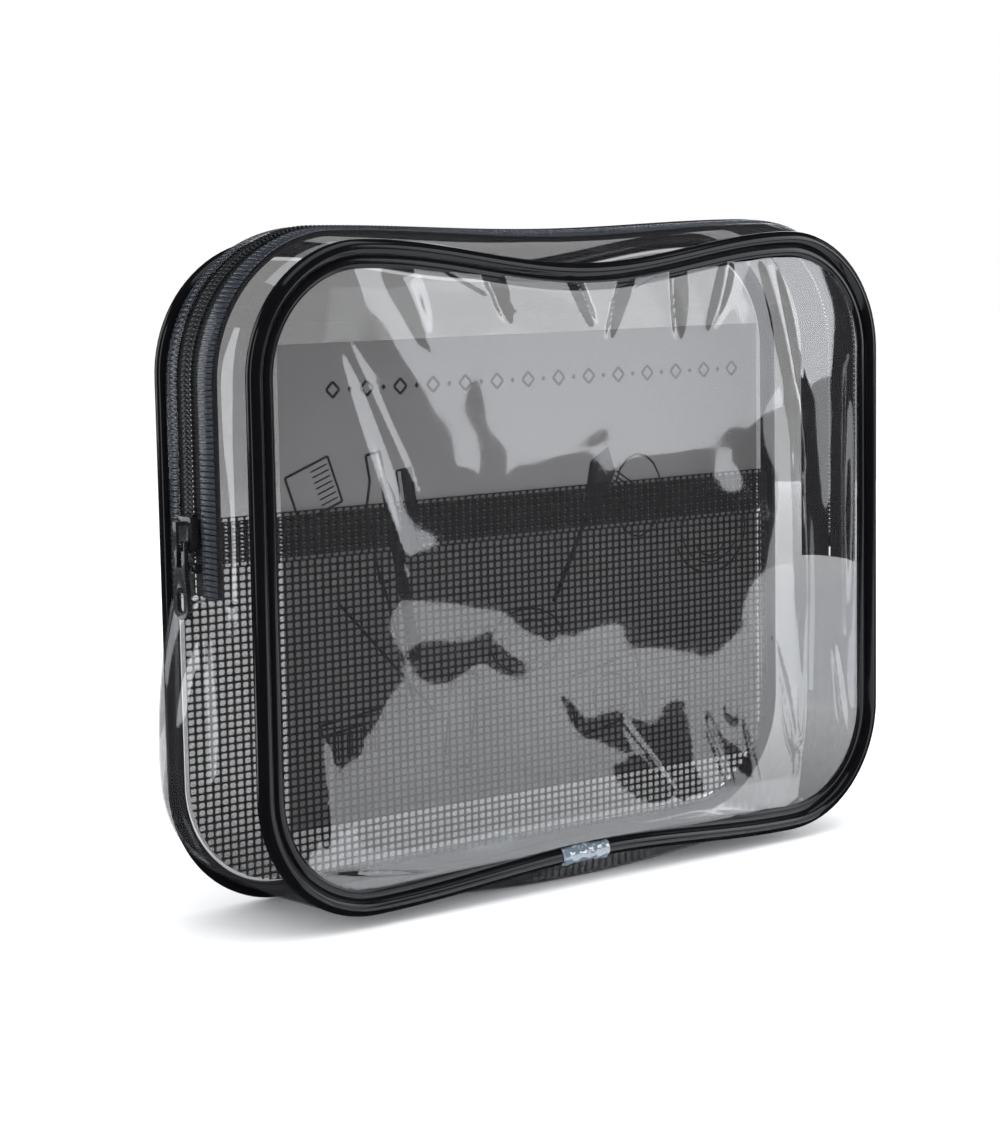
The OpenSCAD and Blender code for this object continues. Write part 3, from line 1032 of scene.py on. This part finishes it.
class BAG_OT_stage(Builder, bpy.types.Operator):
    """Pale floor, soft studio light and the camera"""

    bl_idname = "makeup_bag.stage"
    bl_label = "Stage"

    def build(self, sizes):
        scene = bpy.context.scene
        scene.view_settings.view_transform = "Standard"
        scene.cycles.transparent_max_bounces = 32
        self.floor()
        self.world(scene)
        self.lamps()
        self.low_card(self.camera(scene))
        self.rear_cards()

    def floor(self):
        bm = bmesh.new()
        bmesh.ops.create_grid(bm, x_segments=4, y_segments=4, size=4.0)
        bmesh.ops.translate(bm, verts=bm.verts, vec=(0, 0, CAD_BOX[0].z - 0.02 * MM))
        floor = piece(bm, "floor", finish_material(
            "Pale_Floor", (0.94, 0.94, 0.94), 0.7, scuff=0.05, bump=0.0, broad=3.0, tone=0.01),
            lambda p: Vector((0, 0, 1)))
        floor.visible_glossy = False

    def world(self, scene):
        world = bpy.data.worlds.new("Studio")
        scene.world = world
        world.use_nodes = True
        tree = Tree(world.node_tree)
        world.node_tree.nodes.clear()
        path = tree.add("ShaderNodeLightPath")
        seen = tree.add("ShaderNodeBackground", sockets={"Color": (1, 1, 1, 1), "Strength": 1.0})
        soft = tree.add("ShaderNodeBackground", sockets={"Color": (1, 1, 1, 1), "Strength": 1.25})
        dark = tree.add("ShaderNodeBackground",
                        sockets={"Color": (0.8, 0.9, 1, 1), "Strength": 0.04})
        first = tree.add("ShaderNodeMixShader", {0: path.outputs["Is Glossy Ray"],
                                                 1: soft.outputs[0], 2: dark.outputs[0]})
        last = tree.add("ShaderNodeMixShader", {0: path.outputs["Is Camera Ray"],
                                                1: first.outputs[0], 2: seen.outputs[0]})
        tree.add("ShaderNodeOutputWorld", {"Surface": last.outputs[0]})

    def lamps(self):
        middle = (0, 0, 0.09)
        cool = (0.93, 0.96, 1.0)
        area_lamp("Top_Box", (0.1, -0.35, 1.3), middle, (1.3, 0.9), 8, cool)
        area_lamp("Front_Right_Box", (0.82, -0.78, 0.42), middle, (0.56, 0.7), 4.2, cool)
        area_lamp("Right_Card", (0.66, -0.48, 0.24), middle, (0.17, 0.5), 0.6, cool)
        area_lamp("Right_Box", (1.2, -0.2, 0.3), middle, (0.2, 1.0), 0.8, cool)
        area_lamp("Left_Box", (-1.2, -0.1, 0.35), middle, (0.3, 0.9), 3, cool)
        area_lamp("Back_Left_Box", (-0.6, 0.7, 0.34), middle, (0.5, 0.6), 2.4, cool)
        area_lamp("Back_Right_Box", (0.8, 0.75, 0.3), middle, (0.3, 0.6), 1.6, cool)

    def low_card(self, eye):
        """Light card on the floor, cut to what the lower front film mirrors to the camera."""
        q = grown(SEAM, -PANEL_INSET)

        def mirrored(x, z):
            slope_x = (front_crown(x + MM, z, q) - front_crown(x - MM, z, q)) / (2 * MM)
            slope_z = (front_crown(x, z + MM, q) - front_crown(x, z - MM, q)) / (2 * MM)
            normal = Vector((-slope_x, -1, -slope_z)).normalized()
            spot = Vector((x, -SEAM_Y - front_crown(x, z, q), z))
            way = (spot - eye).normalized()
            way -= 2 * way.dot(normal) * normal
            reach = spot.z / max(-way.z, LOWEST_GLANCE)
            return Vector((spot.x + way.x * reach, spot.y + way.y * reach, 2 * MM))

        x0, x1 = (pick(x for x, z in GLOW) for pick in (min, max))
        z0, z1 = (pick(z for x, z in GLOW) for pick in (min, max))
        bm = grid(x1 - x0, z1 - z0,
                  lambda u, v: Vector((x0 + (x1 - x0) * u, 0, z0 + (z1 - z0) * v)))
        dark = []
        for face in bm.faces:
            x, _, z = face.calc_center_median()
            if not inside(x, z, GLOW) or any(in_leaf(x, z, leaf) for leaf in LEAVES):
                dark.append(face)
        bmesh.ops.delete(bm, geom=dark, context="FACES")
        for v in bm.verts:
            v.co = mirrored(v.co.x * MM, v.co.z * MM)
        self.light_card(bm, "low_card", 0.82)

    def rear_cards(self):
        """Light cards on the floor behind, which the rear film mirrors."""
        for name, corners in (
                ("rear_left_card", ((-60, 120), (-110, 300), (-330, 140), (-480, 330))),
                ("rear_right_card", ((70, 130), (150, 350), (330, 120), (560, 400)))):
            a, b, c, d = (Vector((x, y, 2)) * MM for x, y in corners)
            bm = grid(2, 2, lambda u, v: a.lerp(b, v).lerp(c.lerp(d, v), u))
            self.light_card(bm, name, 0.8)

    def light_card(self, bm, name, strength):
        glow = bpy.data.materials.new(name)
        glow.use_nodes = True
        shader = glow.node_tree.nodes["Principled BSDF"]
        shader.inputs["Emission Color"].default_value = (0.93, 0.96, 1, 1)
        shader.inputs["Emission Strength"].default_value = strength
        card = piece(bm, name, glow, lambda p: Vector((0, 0, 1)))
        card.visible_camera = False
        card.visible_transmission = False

    def camera(self, scene):
        azimuth, tilt, roll = (math.radians(a) for a in (-38.01, 7.03, -0.99))
        target, distance = Vector((-14.51, 0, 84.7)) * MM, 727.45 * MM
        back = Vector((math.sin(azimuth) * math.cos(tilt), -math.cos(azimuth) * math.cos(tilt),
                       math.sin(tilt)))
        right = Vector((math.cos(azimuth), math.sin(azimuth), 0))
        up = back.cross(right)
        side = right * math.cos(roll) + up * math.sin(roll)
        up = up * math.cos(roll) - right * math.sin(roll)
        data = bpy.data.cameras.new("Camera")
        data.lens, data.sensor_width = 85.9, 36
        data.clip_start = 0.01
        made = bpy.data.objects.new("Camera", data)
        turn = Matrix((side, up, back)).transposed()
        made.matrix_world = Matrix.Translation(target + back * distance) @ turn.to_4x4()
        scene.collection.objects.link(made)
        scene.camera = made
        return made.matrix_world.translation.copy()


OPERATORS = (BAG_OT_front_film, BAG_OT_rear_film, BAG_OT_pipings, BAG_OT_gussets, BAG_OT_zip,
             BAG_OT_net_pocket, BAG_OT_insert_card, BAG_OT_stage)


class BAG_PT_panel(bpy.types.Panel):
    """Lists the bag's pieces and its main sizes"""

    bl_idname = "BAG_PT_panel"
    bl_label = "Makeup Bag"
    bl_space_type = "VIEW_3D"
    bl_region_type = "UI"
    bl_category = "Makeup Bag"

    def draw(self, context):
        for group in (context.scene.bag_sizes, context.scene.bag_colours):
            for key in group.__annotations__:
                self.layout.prop(group, key)
        for operator in OPERATORS:
            self.layout.operator(operator.bl_idname)


CLASSES = (BagSizes, BagColours, *OPERATORS, BAG_PT_panel)


def register():
    for kind in CLASSES:
        bpy.utils.register_class(kind)
    bpy.types.Scene.bag_sizes = PointerProperty(type=BagSizes)
    bpy.types.Scene.bag_colours = PointerProperty(type=BagColours)


def unregister():
    del bpy.types.Scene.bag_colours
    del bpy.types.Scene.bag_sizes
    for kind in reversed(CLASSES):
        bpy.utils.unregister_class(kind)


def main():
    register()
    for operator in OPERATORS:
        getattr(bpy.ops.makeup_bag, operator.bl_idname.split(".")[1])()


if __name__ == "__main__":
    main()
